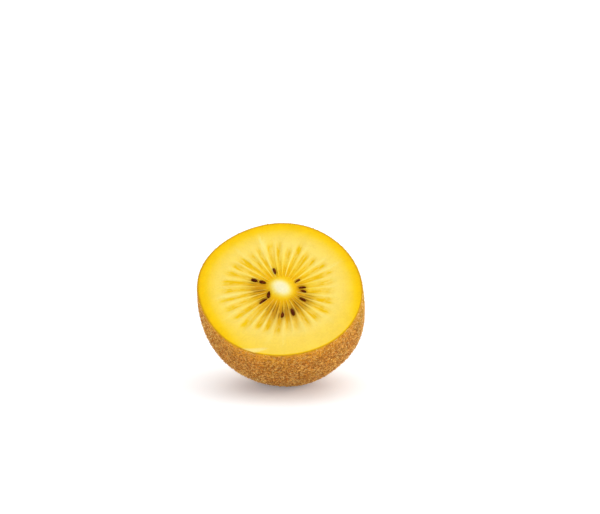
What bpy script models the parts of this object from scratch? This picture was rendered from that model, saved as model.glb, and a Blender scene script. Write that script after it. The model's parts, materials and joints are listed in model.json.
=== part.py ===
"""Half of a golden kiwi fruit, cut across its middle.

It lies on its skin with the cut face tilted up and forward, towards -Y. Metres, +Z up. The origin is at the
middle of the underside of its box, on the surface that it lies on.
"""

import math

import bmesh
import bpy
from mathutils import Matrix, Vector

MM = 0.001

# The half fruit in its own frame: the cut face is up at z = 0 and the stem end is at the bottom
RIM_RADIUS = 25.1 * MM
HALF_LENGTH = 34.5 * MM
END_ROUNDNESS = 2.5
SIDE_ROUNDNESS = 1.9
BULGE = 0.85 * MM
BULGE_ENDS = 0.7
LEAN = 1.1 * MM
RIM_ROUNDING = 0.35 * MM
STEPS_AROUND = 120
SKIN_RINGS = 11

# The outline's departures from a circle: (waves around, share of the radius, phase in degrees)
OUTLINE_WAVES = ((2, 0.020, -109.3), (3, 0.004, -153.8), (4, 0.0075, -75.7), (5, 0.004, 111.3))
OUTLINE_LEFT_AT_STEM = 0.45

# Shallow dents of the skin: (waves around, turn from rim to stem end in radians)
DENT_DEPTH = 0.15 * MM
DENT_WAVES = ((3, 5), (5, -7))

# The cut face
CORE_CENTRE = Vector((0.62 * MM, -0.13 * MM, 0))
CORE_RADIUS = 3.1 * MM
CORE_RISE = 0.35 * MM
CORE_STEEPNESS = 4
CHAMBERS = 30
FIRST_CHAMBER = 7.3
CHAMBER_DEPTH = 0.30 * MM
CHAMBER_START = 5.2 * MM
CHAMBER_END = 16.4 * MM
CHAMBER_END_WAVE = 1.2 * MM
CHAMBER_FADE = 1.8 * MM
FACE_RINGS = (0.055, 0.11, 0.155, 0.21, 0.29, 0.38, 0.47, 0.56, 0.66, 0.75, 0.87)

# How unevenly the chambers are spread: (waves around, degrees, phase in degrees)
CHAMBER_WAVES = ((1, 3.6, 54), (2, 2.0, 122), (3, 0.95, 44))

# Seeds: chamber number, distance from the core, turn away from the chamber in degrees, length, width
SEEDS = (
    (1.9, 5.3 * MM, 13, 2.1 * MM, 0.85 * MM),
    (8.5, 7.0 * MM, -4, 2.4 * MM, 1.1 * MM),
    (12.9, 6.3 * MM, 7, 2.1 * MM, 1.3 * MM),
    (13.0, 8.9 * MM, 1, 2.1 * MM, 1.2 * MM),
    (17.5, 4.5 * MM, 56, 2.5 * MM, 1.25 * MM),
    (18.0, 7.0 * MM, 0, 2.9 * MM, 0.85 * MM),
    (22.3, 9.8 * MM, -4, 2.3 * MM, 1.2 * MM),
    (23.9, 9.3 * MM, -5, 2.8 * MM, 1.3 * MM),
    (27.0, 7.5 * MM, -2, 2.4 * MM, 0.9 * MM),
    (28.5, 6.5 * MM, -14, 1.9 * MM, 0.9 * MM),
    (29.7, 6.1 * MM, 0, 2.3 * MM, 1.0 * MM),
)
SEED_THICKNESS = 1.1 * MM
SEED_SHOWS = 0.45 * MM
SEED_POINT = 0.35
SEED_SIDES = 8
SEED_RINGS = 6

# Stem end, outermost ring first: (distance from the axis, height above the skin's own curve)
BUTTON_PROFILE = (
    (6.6 * MM, 0.0 * MM),
    (5.5 * MM, 0.05 * MM),
    (5.0 * MM, -0.60 * MM),
    (4.3 * MM, 0.10 * MM),
    (3.2 * MM, 0.25 * MM),
    (2.2 * MM, 0.05 * MM),
    (1.7 * MM, -0.60 * MM),
    (0.8 * MM, -0.95 * MM),
)
BUTTON_WAVES = ((3, 0.19 * MM, 23), (7, 0.11 * MM, 110))

# How it lies
FACE_TILT = math.radians(40.5)
FLAT_SPOT_DEPTH = 0.35 * MM
WELD = 0.01 * MM
SHARP_EDGE = math.radians(40)

# Materials: (name, colour, roughness), in the order of the slots
MATERIALS = (
    ("kiwi_skin", (0.44, 0.20, 0.05, 1), 0.75),
    ("kiwi_flesh", (0.93, 0.62, 0.07, 1), 0.35),
    ("kiwi_seed", (0.03, 0.012, 0.006, 1), 0.3),
)
SKIN_SLOT, FLESH_SLOT, SEED_SLOT = range(3)


def clear_scene():
    for thing in list(bpy.data.objects):
        bpy.data.objects.remove(thing, do_unlink=True)


def new_collection(name):
    collection = bpy.data.collections.new(name)
    bpy.context.scene.collection.children.link(collection)
    return collection


def make_material(name, colour, roughness):
    material = bpy.data.materials.new(name)
    material.use_nodes = True
    shader = material.node_tree.nodes["Principled BSDF"]
    shader.inputs["Base Color"].default_value = colour
    shader.inputs["Roughness"].default_value = roughness
    shader.inputs["Metallic"].default_value = 0
    return material


def wave_sum(waves, angle):
    return sum(size * math.cos(count * angle - math.radians(phase)) for count, size, phase in waves)


def smooth_step(value):
    value = min(max(value, 0), 1)
    return value * value * (3 - 2 * value)


def skin_radius(along):
    """Radius of the fruit at this share of the way from the cut face to the stem end."""
    swelling = BULGE * math.sin(math.pi * min(along / BULGE_ENDS, 1)) ** 2
    return RIM_RADIUS * (1 - along**END_ROUNDNESS) ** (1 / SIDE_ROUNDNESS) + swelling


def share_at_radius(radius):
    """Where the fruit has this radius, near the stem end, past the swelling."""
    return (1 - (radius / RIM_RADIUS) ** SIDE_ROUNDNESS) ** (1 / END_ROUNDNESS)


def turned_profile():
    """Half outline from the middle of the cut face, over the rim and down the skin to the stem end."""
    points = [(0, 0)]
    points += [(share * RIM_RADIUS, 0) for share in FACE_RINGS]
    points += [(RIM_RADIUS - RIM_ROUNDING, 0), (RIM_RADIUS, -RIM_ROUNDING)]
    last_turn = math.asin(share_at_radius(BUTTON_PROFILE[0][0]))
    for ring in range(1, SKIN_RINGS):
        along = math.sin(last_turn * ring / SKIN_RINGS)
        points.append((skin_radius(along), -HALF_LENGTH * along))
    for radius, height in BUTTON_PROFILE:
        points.append((radius, -HALF_LENGTH * share_at_radius(radius) - height))
    points.append((0, -HALF_LENGTH - BUTTON_PROFILE[-1][1]))
    return points


def turn_profile(points, name, collection):
    """The outline turned into a closed body by a Screw modifier."""
    mesh = bpy.data.meshes.new(name)
    edges = [(i, i + 1) for i in range(len(points) - 1)]
    mesh.from_pydata([(x, 0, z) for x, z in points], edges, [])
    body = bpy.data.objects.new(name, mesh)
    collection.objects.link(body)
    screw = body.modifiers.new("turn", "SCREW")
    screw.axis = "Z"
    screw.steps = STEPS_AROUND
    screw.render_steps = STEPS_AROUND
    screw.use_merge_vertices = True
    screw.merge_threshold = WELD
    apply_modifiers(body)
    return body


def apply_modifiers(thing):
    bpy.context.view_layer.update()
    graph = bpy.context.evaluated_depsgraph_get()
    finished = bpy.data.meshes.new_from_object(thing.evaluated_get(graph))
    thing.modifiers.clear()
    old = thing.data
    thing.data = finished
    bpy.data.meshes.remove(old)


def chamber_angle(number):
    """Direction of a seed chamber from the core. The spacing is even but for the fruit's own growth."""
    turn = math.tau * number / CHAMBERS
    return turn + math.radians(FIRST_CHAMBER + wave_sum(CHAMBER_WAVES, turn))


def face_height(radius, number, angle):
    """Height of the cut face: a raised core, and chambers sunk between the ribs that part them."""
    core = math.exp(-((radius / CORE_RADIUS) ** CORE_STEEPNESS))
    end = CHAMBER_END - CHAMBER_END_WAVE * math.cos(angle)
    inside = smooth_step((radius - CHAMBER_START) / CHAMBER_FADE + 0.5)
    inside *= smooth_step((end - radius) / CHAMBER_FADE + 0.5)
    return CORE_RISE * core - CHAMBER_DEPTH * inside * (0.5 + 0.5 * math.cos(math.tau * number))


def grown_face_point(radius, number):
    """A point of the turned disc, moved to where it lies on the real cut face."""
    angle = chamber_angle(number)
    reach = radius * (1 + wave_sum(OUTLINE_WAVES, angle))
    height = face_height(radius, number, angle)
    middle = CORE_CENTRE * (1 - radius / RIM_RADIUS)
    return middle + Vector((reach * math.cos(angle), reach * math.sin(angle), height))


def grown_skin_point(radius, number, height):
    """A point of the turned skin, moved for the outline, the dents, the wavy button and the lean."""
    angle = chamber_angle(number)
    along = min(-height / HALF_LENGTH, 1)
    outline_left = 1 - (1 - OUTLINE_LEFT_AT_STEM) * along
    reach = radius * (1 + outline_left * wave_sum(OUTLINE_WAVES, angle))
    if radius > BUTTON_PROFILE[0][0]:
        dents = sum(math.sin(count * angle + twist * along) for count, twist in DENT_WAVES)
        reach += DENT_DEPTH * dents * math.sin(math.pi * along)
    else:
        reach += wave_sum(BUTTON_WAVES, angle) * math.sin(math.pi * radius / BUTTON_PROFILE[0][0])
    lean = LEAN * math.sin(math.pi / 2 * along) ** 2
    return Vector((reach * math.cos(angle) + lean, reach * math.sin(angle), height))


def shape_fruit(body):
    """Gives the turned body its grown shape, and its skin and flesh their materials."""
    for vertex in body.data.vertices:
        x, y, height = vertex.co
        radius = math.hypot(x, y)
        number = math.atan2(y, x) / math.tau * CHAMBERS
        on_face = height > -RIM_ROUNDING / 2
        vertex.co = grown_face_point(radius, number) if on_face else grown_skin_point(radius, number, height)
    for face in body.data.polygons:
        face.material_index = FLESH_SLOT if face.center.z > -CHAMBER_DEPTH else SKIN_SLOT


def add_materials(mesh, materials):
    mesh.materials.clear()
    for material in materials:
        mesh.materials.append(material)


def add_seed(collection, materials, number, distance, turn, length, width):
    """One seed, a flattened drop that lies in its chamber with its point towards the core."""
    mesh = bpy.data.meshes.new("seed")
    shape = bmesh.new()
    bmesh.ops.create_uvsphere(shape, u_segments=SEED_SIDES, v_segments=SEED_RINGS, radius=0.5)
    for vertex in shape.verts:
        x, y, z = vertex.co
        narrowing = 1 - SEED_POINT * (0.5 - z)
        vertex.co = (z * length, x * width * narrowing, y * SEED_THICKNESS)
    for face in shape.faces:
        face.material_index = SEED_SLOT
    bmesh.ops.recalc_face_normals(shape, faces=shape.faces[:])
    shape.to_mesh(mesh)
    shape.free()
    add_materials(mesh, materials)
    angle = chamber_angle(number)
    place = Vector((distance * math.cos(angle), distance * math.sin(angle), SEED_SHOWS)) + CORE_CENTRE
    place.z -= SEED_THICKNESS / 2 + CHAMBER_DEPTH / 2
    mesh.transform(Matrix.Translation(place) @ Matrix.Rotation(angle + math.radians(turn), 4, "Z"))
    collection.objects.link(bpy.data.objects.new("seed", mesh))


def join_seeds(body, materials):
    """Grows the seeds into the flesh with one Boolean union."""
    seeds = new_collection("seeds")
    for seed in SEEDS:
        add_seed(seeds, materials, *seed)
    union = body.modifiers.new("grow seeds", "BOOLEAN")
    union.operation = "UNION"
    union.solver = "EXACT"
    union.operand_type = "COLLECTION"
    union.collection = seeds
    apply_modifiers(body)
    for seed in list(seeds.objects):
        bpy.data.objects.remove(seed, do_unlink=True)
    bpy.data.collections.remove(seeds)


def flatten_spot(mesh):
    """Cuts the spot that the fruit lies on flat, and closes the cut."""
    level = min(vertex.co.z for vertex in mesh.vertices) + FLAT_SPOT_DEPTH
    shape = bmesh.new()
    shape.from_mesh(mesh)
    cut = bmesh.ops.bisect_plane(
        shape,
        geom=shape.verts[:] + shape.edges[:] + shape.faces[:],
        dist=WELD,
        plane_co=(0, 0, level),
        plane_no=(0, 0, -1),
        clear_outer=True,
    )
    edge = [part for part in cut["geom_cut"] if isinstance(part, bmesh.types.BMEdge)]
    for part in cut["geom_cut"]:
        if isinstance(part, bmesh.types.BMVert):
            part.co.z = level
    bmesh.ops.contextual_create(shape, geom=edge, mat_nr=SKIN_SLOT)
    bmesh.ops.recalc_face_normals(shape, faces=shape.faces[:])
    shape.to_mesh(mesh)
    shape.free()


def lay_down(mesh):
    """Tilts the fruit, flattens the spot that it lies on and sets the origin under the middle of its box."""
    mesh.transform(Matrix.Rotation(FACE_TILT, 4, "X"))
    flatten_spot(mesh)
    spans = [[vertex.co[axis] for vertex in mesh.vertices] for axis in range(3)]
    middle = [(min(span) + max(span)) / 2 for span in spans]
    mesh.transform(Matrix.Translation((-middle[0], -middle[1], -min(spans[2]))))


def main():
    clear_scene()
    fruit = new_collection("golden_kiwi_fruit")
    materials = [make_material(*settings) for settings in MATERIALS]
    body = turn_profile(turned_profile(), "golden_kiwi_half", fruit)
    add_materials(body.data, materials)
    shape_fruit(body)
    join_seeds(body, materials)
    lay_down(body.data)
    body.data.shade_smooth()
    body.data.set_sharp_from_angle(angle=SHARP_EDGE)


main()
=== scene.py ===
import json
import math

import bpy
import numpy as np
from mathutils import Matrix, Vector

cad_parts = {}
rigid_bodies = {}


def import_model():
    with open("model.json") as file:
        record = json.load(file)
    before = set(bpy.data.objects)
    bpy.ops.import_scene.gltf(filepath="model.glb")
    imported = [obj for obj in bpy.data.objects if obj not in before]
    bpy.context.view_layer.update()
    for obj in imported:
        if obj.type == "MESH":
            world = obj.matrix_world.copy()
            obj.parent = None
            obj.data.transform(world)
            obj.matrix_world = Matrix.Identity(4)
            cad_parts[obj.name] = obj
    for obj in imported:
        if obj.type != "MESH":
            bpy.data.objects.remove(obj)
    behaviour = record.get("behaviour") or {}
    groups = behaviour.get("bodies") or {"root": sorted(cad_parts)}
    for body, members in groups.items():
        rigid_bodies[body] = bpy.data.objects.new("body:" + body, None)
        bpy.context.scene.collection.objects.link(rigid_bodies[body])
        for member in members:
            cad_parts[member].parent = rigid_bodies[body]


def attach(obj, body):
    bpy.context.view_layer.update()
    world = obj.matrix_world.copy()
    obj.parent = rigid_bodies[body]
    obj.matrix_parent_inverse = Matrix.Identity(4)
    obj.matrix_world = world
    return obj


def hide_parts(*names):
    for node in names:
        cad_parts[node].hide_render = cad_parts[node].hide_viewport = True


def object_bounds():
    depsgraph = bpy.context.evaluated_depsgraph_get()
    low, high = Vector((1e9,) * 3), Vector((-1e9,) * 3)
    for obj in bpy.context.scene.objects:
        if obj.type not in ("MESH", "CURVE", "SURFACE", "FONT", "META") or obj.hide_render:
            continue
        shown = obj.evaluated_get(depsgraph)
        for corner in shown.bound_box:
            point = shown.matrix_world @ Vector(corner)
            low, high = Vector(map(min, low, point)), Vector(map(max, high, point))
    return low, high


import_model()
cadBox = [list(corner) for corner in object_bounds()]
print("frame loaded")

scene = bpy.context.scene
scene.view_settings.view_transform = "Standard"
mm = 0.001

# small helpers for the mesh work


def deselectAll():
    for thing in bpy.context.view_layer.objects:
        thing.select_set(False)


def pick(piece):
    deselectAll()
    piece.select_set(True)
    bpy.context.view_layer.objects.active = piece


def editAll(operation, **settings):
    # one edit of the whole mesh of the active piece
    bpy.ops.object.mode_set(mode="EDIT")
    bpy.ops.mesh.select_all(action="SELECT")
    operation(**settings)
    bpy.ops.object.mode_set(mode="OBJECT")


def turnProfile(name, profile, steps):
    # a plane is merged to one point, which is drawn out along the profile and turned round Z
    deselectAll()
    bpy.ops.mesh.primitive_plane_add(size=mm)
    piece = bpy.context.object
    piece.name = piece.data.name = name
    bpy.ops.object.mode_set(mode="EDIT")
    bpy.ops.mesh.merge(type="CENTER")
    last = (0, 0)
    for index, (radius, height) in enumerate(profile):
        step = ((radius - last[0]) * mm, 0, (height - last[1]) * mm)
        if index == 0:
            bpy.ops.transform.translate(value=step)
        else:
            bpy.ops.mesh.extrude_vertices_move(TRANSFORM_OT_translate={"value": step})
        last = (radius, height)
    bpy.ops.object.mode_set(mode="OBJECT")
    turn = piece.modifiers.new("turn", "SCREW")
    turn.steps = turn.render_steps = steps
    bpy.ops.object.modifier_apply(modifier=turn.name)
    editAll(bpy.ops.mesh.remove_doubles, threshold=0.0005 * mm)
    editAll(bpy.ops.mesh.normals_make_consistent, inside=False)
    return piece


def readPoints(piece):
    points = np.empty(len(piece.data.vertices) * 3, np.float32)
    piece.data.vertices.foreach_get("co", points)
    return points.reshape(-1, 3).astype(float) / mm


def writePoints(piece, points):
    piece.data.vertices.foreach_set("co", (points * mm).astype(np.float32).ravel())
    piece.data.update()


def paint(piece, name, values):
    # one number, or one direction, for each point of the mesh, for the materials to read
    values = np.asarray(values, np.float32)
    kind, key = ("FLOAT", "value") if values.ndim == 1 else ("FLOAT_VECTOR", "vector")
    layer = piece.data.attributes.new(name, kind, "POINT")
    layer.data.foreach_set(key, values.ravel())


# the fruit's own shape, in mm and degrees, with the face level and the stem end down

fruit = {
    "rimRadius": 25.1, "halfLength": 34.5, "endRoundness": 2.5, "sideRoundness": 1.9,
    "bulge": 0.85, "bulgeEnds": 0.7, "lean": 1.1,
    "outlineWaves": ((2, 0.020, -109.3), (3, 0.004, -153.8), (4, 0.0075, -75.7), (5, 0.004, 111.3)),
    "outlineLeftAtStem": 0.45,
    "dentDepth": 0.15, "dentWaves": ((3, 5), (5, -7)),
    "coreCentre": (0.62, -0.13),
    "chambers": 30, "firstChamber": 7.3,
    "chamberWaves": ((1, 3.6, 54), (2, 2.0, 122), (3, 0.95, 44)),
    "buttonRadius": 6.6,
    "buttonProfile": ((6.6, 0.0), (5.5, 0.05), (5.0, -0.60), (4.3, 0.10), (3.2, 0.25),
                      (2.2, 0.05), (1.7, -0.60), (0.8, -0.95), (0.0, -0.95)),
    "buttonWaves": ((3, 0.19, 23), (7, 0.11, 110)),
    "faceTilt": 40.5,
}


def waves(terms, angle):
    return sum(size * np.cos(count * angle - math.radians(phase)) for count, size, phase in terms)


def ease(value):
    value = np.clip(value, 0, 1)
    return value * value * (3 - 2 * value)


def chamberAngle(number):
    turn = math.tau * number / fruit["chambers"]
    return turn + np.radians(fruit["firstChamber"] + waves(fruit["chamberWaves"], turn))


def polar(points):
    # distance from the axis, chamber number and true angle of each point of a turned body
    radius = np.hypot(points[:, 0], points[:, 1])
    number = np.arctan2(points[:, 1], points[:, 0]) / math.tau * fruit["chambers"]
    return radius, number, chamberAngle(number)


def skinRadius(along):
    swelling = fruit["bulge"] * np.sin(math.pi * np.minimum(along / fruit["bulgeEnds"], 1)) ** 2
    return fruit["rimRadius"] * (1 - along ** fruit["endRoundness"]) ** (1 / fruit["sideRoundness"]) + swelling


def shareAtRadius(radius):
    return (1 - (radius / fruit["rimRadius"]) ** fruit["sideRoundness"]) ** (1 / fruit["endRoundness"])


def buttonHeight(radius):
    rings = np.array(fruit["buttonProfile"])[::-1]
    return np.interp(radius, rings[:, 0], rings[:, 1], right=0)


def growSkin(points):
    # outline, dents, the wavy button and the lean of the fruit
    radius, _, angle = polar(points)
    along = np.clip(-points[:, 2] / fruit["halfLength"], 0, 1)
    outlineLeft = 1 - (1 - fruit["outlineLeftAtStem"]) * along
    reach = radius * (1 + outlineLeft * waves(fruit["outlineWaves"], angle))
    dents = sum(np.sin(count * angle + twist * along) for count, twist in fruit["dentWaves"])
    inButton = radius <= fruit["buttonRadius"]
    wobble = waves(fruit["buttonWaves"], angle) * np.sin(math.pi * radius / fruit["buttonRadius"])
    reach += np.where(inButton, wobble, fruit["dentDepth"] * dents * np.sin(math.pi * along))
    lean = fruit["lean"] * np.sin(math.pi / 2 * along) ** 2
    return np.column_stack((reach * np.cos(angle) + lean, reach * np.sin(angle), points[:, 2]))


def growFace(points, height):
    # the outline, round a core that lies a little off the middle, and the relief
    radius, _, angle = polar(points)
    reach = radius * (1 + waves(fruit["outlineWaves"], angle))
    left = 1 - radius / fruit["rimRadius"]
    x = fruit["coreCentre"][0] * left + reach * np.cos(angle)
    y = fruit["coreCentre"][1] * left + reach * np.sin(angle)
    return np.column_stack((x, y, points[:, 2] + height))


def layDown(piece):
    # tilts the piece with the fruit, sets it on the floor and keeps it inside the fruit's own box
    pick(piece)
    piece.rotation_euler = (math.radians(fruit["faceTilt"]), 0, 0)
    piece.location = Vector(studio["faceCentre"]) * mm
    bpy.ops.object.transform_apply(location=True, rotation=True, scale=True)
    low, high = np.array(cadBox) / mm
    writePoints(piece, np.clip(readPoints(piece), low, high))
    bpy.ops.object.shade_smooth()


# nodes that more than one finish uses


def tone(colour, dim=1.0):
    # a colour as a screen shows it, 0 to 255, made linear; dim allows for the strength of the light
    shares = [value / 255 for value in colour]
    return [dim * (s / 12.92 if s <= 0.04045 else ((s + 0.055) / 1.055) ** 2.4) for s in shares] + [1]


def addNode(tree, kind, at, **settings):
    node = tree.nodes.new("ShaderNode" + kind)
    node.location = (at[0] * 200, at[1] * -200)
    for name, value in settings.items():
        setattr(node, name, value)
    return node


def give(tree, socket, value):
    # links what comes from another node, and sets anything else
    if isinstance(value, bpy.types.NodeSocket):
        tree.links.new(value, socket)
    else:
        socket.default_value = value


def feed(tree, node, **values):
    # gives inputs by name, with _ for a space
    for name, value in values.items():
        give(tree, node.inputs[name.replace("_", " ")], value)


def mathNode(tree, operation, at, first, second, clamp=False):
    node = addNode(tree, "Math", at, operation=operation, use_clamp=clamp)
    give(tree, node.inputs[0], first)
    give(tree, node.inputs[1], second)
    return node.outputs[0]


def times(tree, at, first, second, clamp=False):
    return mathNode(tree, "MULTIPLY", at, first, second, clamp)


def mixColour(tree, at, amount, under, over, blend="MIX"):
    node = addNode(tree, "Mix", at, data_type="RGBA", blend_type=blend)
    for index, value in ((0, amount), (6, under), (7, over)):
        give(tree, node.inputs[index], value)
    return node.outputs[2]


def rampColour(tree, at, value, stops, dim=1.0):
    ramp = addNode(tree, "ValToRGB", at)
    marks = ramp.color_ramp.elements
    while len(marks) > 1:
        marks.remove(marks[-1])
    marks[0].position = stops[0][0]
    marks[0].color = tone(stops[0][1], dim)
    for place, colour in stops[1:]:
        marks.new(place).color = tone(colour, dim)
    give(tree, ramp.inputs[0], value)
    return ramp.outputs[0]


def remap(tree, at, value, fromLow, fromHigh, toLow=0.0, toHigh=1.0):
    node = addNode(tree, "MapRange", at, interpolation_type="SMOOTHSTEP")
    feed(tree, node, Value=value, From_Min=fromLow, From_Max=fromHigh, To_Min=toLow, To_Max=toHigh)
    return node.outputs[0]


def stain(tree, at, colour, over, pattern, limits):
    # lays one colour over another where a pattern passes its limits: from, to, and the shares there
    share = remap(tree, (at[0] - 1, at[1] + 1), pattern, *limits)
    return mixColour(tree, at, share, colour, over)


def readLayer(tree, at, name, output="Fac"):
    return addNode(tree, "Attribute", at, attribute_name=name).outputs[output]


def roughen(tree, at, height, strength, depth):
    # a bumpy normal from a height pattern, depth in mm
    bump = addNode(tree, "Bump", at)
    feed(tree, bump, Strength=strength, Distance=depth * mm, Height=height)
    return bump.outputs[0]


def newMaterial(name, **constants):
    material = bpy.data.materials.new(name)
    material.use_nodes = True
    shader = material.node_tree.nodes["Principled BSDF"]
    shader.location = (2600, 0)
    material.node_tree.nodes["Material Output"].location = (3000, 0)
    for label, value in constants.items():
        shader.inputs[label.replace("_", " ")].default_value = value
    return material, material.node_tree, shader


def newGroup(name, inputs, outputs):
    # an empty group of nodes, with its input sockets' values and the names of its output sockets
    group = bpy.data.node_groups.new(name, "ShaderNodeTree")
    for label, value in inputs:
        socket = group.interface.new_socket(label, in_out="INPUT", socket_type="NodeSocketFloat")
        socket.default_value = value
    for label in outputs:
        group.interface.new_socket(label, in_out="OUTPUT", socket_type="NodeSocketFloat")
    return group, group.nodes.new("NodeGroupInput").outputs, group.nodes.new("NodeGroupOutput").inputs


def makeMottle():
    # soft uneven patches with a finer pattern in them, from 0 to 1
    group, given, leave = newGroup("mottle", (("Patch Size", 0.004), ("Fine Share", 0.35)), ("Value",))
    place = addNode(group, "TexCoord", (0, 1)).outputs["Object"]
    scale = mathNode(group, "DIVIDE", (1, 0), 1.0, given["Patch Size"])
    coarse = addNode(group, "TexNoise", (2, 0), noise_dimensions="4D")
    feed(group, coarse, Vector=place, Scale=scale, Detail=2.0)
    fine = addNode(group, "TexNoise", (3, 1), noise_dimensions="4D")
    feed(group, fine, Vector=place, Scale=times(group, (2, 1), scale, 5.3), Detail=3.0)
    mixed = addNode(group, "Mix", (4, 0), data_type="FLOAT")
    for index, value in ((0, given["Fine Share"]), (2, coarse.outputs[0]), (3, fine.outputs[0])):
        give(group, mixed.inputs[index], value)
    give(group, leave["Value"], remap(group, (5, 0), mixed.outputs[0], 0.32, 0.68))
    return group


def makeGranules():
    # close little bumps, each with its own height: Height for a bump, Tint from 0 to 1 for colour
    group, given, leave = newGroup("granules", (("Grain Size", 0.0005), ("Stretch", 0.3)), ("Height", "Tint"))
    place = addNode(group, "TexCoord", (0, 1)).outputs["Object"]
    scale = mathNode(group, "DIVIDE", (1, 0), 1.0, given["Grain Size"])
    warp = addNode(group, "TexNoise", (1, 2))
    feed(group, warp, Vector=place, Scale=times(group, (1, 1), scale, 0.4))
    pull = addNode(group, "VectorMath", (2, 2), operation="SCALE")
    give(group, pull.inputs[0], warp.outputs["Color"])
    give(group, pull.inputs["Scale"], times(group, (2, 3), given["Grain Size"], given["Stretch"]))
    moved = addNode(group, "VectorMath", (3, 2), operation="ADD")
    give(group, moved.inputs[0], place)
    give(group, moved.inputs[1], pull.outputs[0])
    cells = addNode(group, "TexVoronoi", (4, 1), feature="SMOOTH_F1")
    feed(group, cells, Vector=moved.outputs[0], Scale=scale, Smoothness=0.4)
    dome = remap(group, (5, 0), cells.outputs["Distance"], 0.65, 0.05)
    own = addNode(group, "SeparateColor", (5, 1))
    give(group, own.inputs[0], cells.outputs["Color"])
    tall = mathNode(group, "ADD", (6, 1), own.outputs[0], 0.35)
    give(group, leave["Height"], times(group, (6, 0), dome, tall))
    give(group, leave["Tint"], times(group, (6, 2), dome, own.outputs[1]))
    return group


mottle = makeMottle()
granules = makeGranules()


def addPatches(tree, at, size, fineShare):
    return useGroup(tree, at, mottle, Patch_Size=size * mm, Fine_Share=fineShare).outputs[0]


def addGrains(tree, at, size, stretch):
    return useGroup(tree, at, granules, Grain_Size=size * mm, Stretch=stretch).outputs


def useGroup(tree, at, group, **values):
    node = addNode(tree, "Group", at, node_tree=group)
    feed(tree, node, **values)
    return node


# camera, floor and lights

studio = {
    "faceCentre": (-0.005, -5.770, 31.050),   # mm, the point that the camera is set out from
    "distance": 600.0, "turn": 3.8, "height": 12.0,
    "aside": 6.0, "above": 9.23,              # mm from that point to what the camera looks at
    "lens": 120.3, "lit": (0, 0, 0.02),       # m, the point that the lights face
    "floorWidth": 9.0, "floorTone": 0.92,
    "skyStrength": 0.92, "floorGlow": 0.19, "glowTint": (0.80, 0.90, 1.0, 1),
    # name, place in m, width in m, watts, tint
    "lights": (
        ("topSoftbox", (0.0, 0.10, 2.20), 3.00, 14.0, (1.0, 0.99, 0.97)),
        ("frontSoftbox", (-0.25, -1.60, 0.55), 0.90, 2.7, (1.0, 0.99, 0.97)),
        ("sideSoftbox", (1.15, -0.05, 0.30), 0.80, 5.7, (1.0, 0.97, 0.90)),
        ("backSoftbox", (0.30, 1.60, 0.70), 0.90, 4.0, (1.0, 0.98, 0.94)),
    ),
}


def setCamera():
    turn, height = math.radians(studio["turn"]), math.radians(studio["height"])
    back = Vector((math.sin(turn) * math.cos(height), -math.cos(turn) * math.cos(height), math.sin(height)))
    right = Vector((math.cos(turn), math.sin(turn), 0))
    up = right.cross(-back)
    centre = Vector(studio["faceCentre"])
    place = centre + back * studio["distance"]
    target = centre + right * studio["aside"] + up * studio["above"]
    camera = bpy.data.objects.new("camera", bpy.data.cameras.new("camera"))
    scene.collection.objects.link(camera)
    camera.location = place * mm
    camera.rotation_euler = (target - place).to_track_quat("-Z", "Y").to_euler()
    camera.data.lens = studio["lens"]
    camera.data.clip_start = 0.01
    scene.camera = camera


def setFloor():
    deselectAll()
    bpy.ops.mesh.primitive_plane_add(size=studio["floorWidth"])
    floor = bpy.context.object
    floor.name = "floor"
    paper, _, _ = newMaterial(
        "whitePaper", Base_Color=(studio["floorTone"],) * 3 + (1,), Roughness=0.9, Specular_IOR_Level=0.1,
        Emission_Color=studio["glowTint"], Emission_Strength=studio["floorGlow"])
    floor.data.materials.append(paper)


def setLights():
    world = bpy.data.worlds.new("studioAir")
    world.use_nodes = True
    feed(world.node_tree, world.node_tree.nodes["Background"], Color=(1, 1, 1, 1), Strength=studio["skyStrength"])
    scene.world = world
    for name, place, width, watts, tint in studio["lights"]:
        lamp = bpy.data.lights.new(name, "AREA")
        lamp.size = width
        lamp.energy = watts
        lamp.color = tint
        holder = bpy.data.objects.new(name, lamp)
        scene.collection.objects.link(holder)
        holder.location = place
        holder.rotation_euler = (Vector(studio["lit"]) - Vector(place)).to_track_quat("-Z", "Y").to_euler()


setCamera()
setFloor()
setLights()
print("studio set")

# the seeds

seeds = {
    # chamber number, distance from the core, turn from the chamber in degrees, length, width, sunk by
    "places": (
        (1.8, 5.3, 13, 2.1, 0.85, 0.10), (8.5, 7.1, -4, 2.4, 1.1, 0.0), (12.75, 6.4, 7, 2.2, 1.25, 0.0),
        (12.95, 9.0, 1, 2.2, 1.2, 0.0), (17.15, 4.5, 56, 2.6, 1.25, 0.0), (18.0, 7.1, 0, 2.9, 0.85, 0.10),
        (22.3, 9.8, -4, 2.3, 1.2, 0.08), (23.95, 9.3, -5, 2.8, 1.3, 0.08), (27.0, 7.4, -2, 2.4, 0.9, 0.18),
        (28.85, 6.5, -14, 1.9, 0.9, 0.24), (29.7, 6.1, 0, 2.3, 1.0, 0.12),
    ),
    "thickness": 1.1, "shows": 0.45, "bedDepth": 0.15, "sides": 28, "rings": 18,
    # shares of the width: narrower at the point, pinched and flatter there, with a ridge along each side
    "point": 0.35, "pinch": 0.16, "flatten": 0.10, "ridge": 0.035, "ridgeWidth": 0.06,
    "dark": (52, 12, 0), "brown": (112, 46, 0), "gloss": (0, 1, 0.22, 0.36),
    "patchSize": 0.7, "pitSize": 0.16, "pitDepth": 0.03,
}


def seedCentre(number, distance):
    angle = chamberAngle(np.float64(number))
    return np.array((distance * np.cos(angle) + fruit["coreCentre"][0],
                     distance * np.sin(angle) + fruit["coreCentre"][1])), angle


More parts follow.
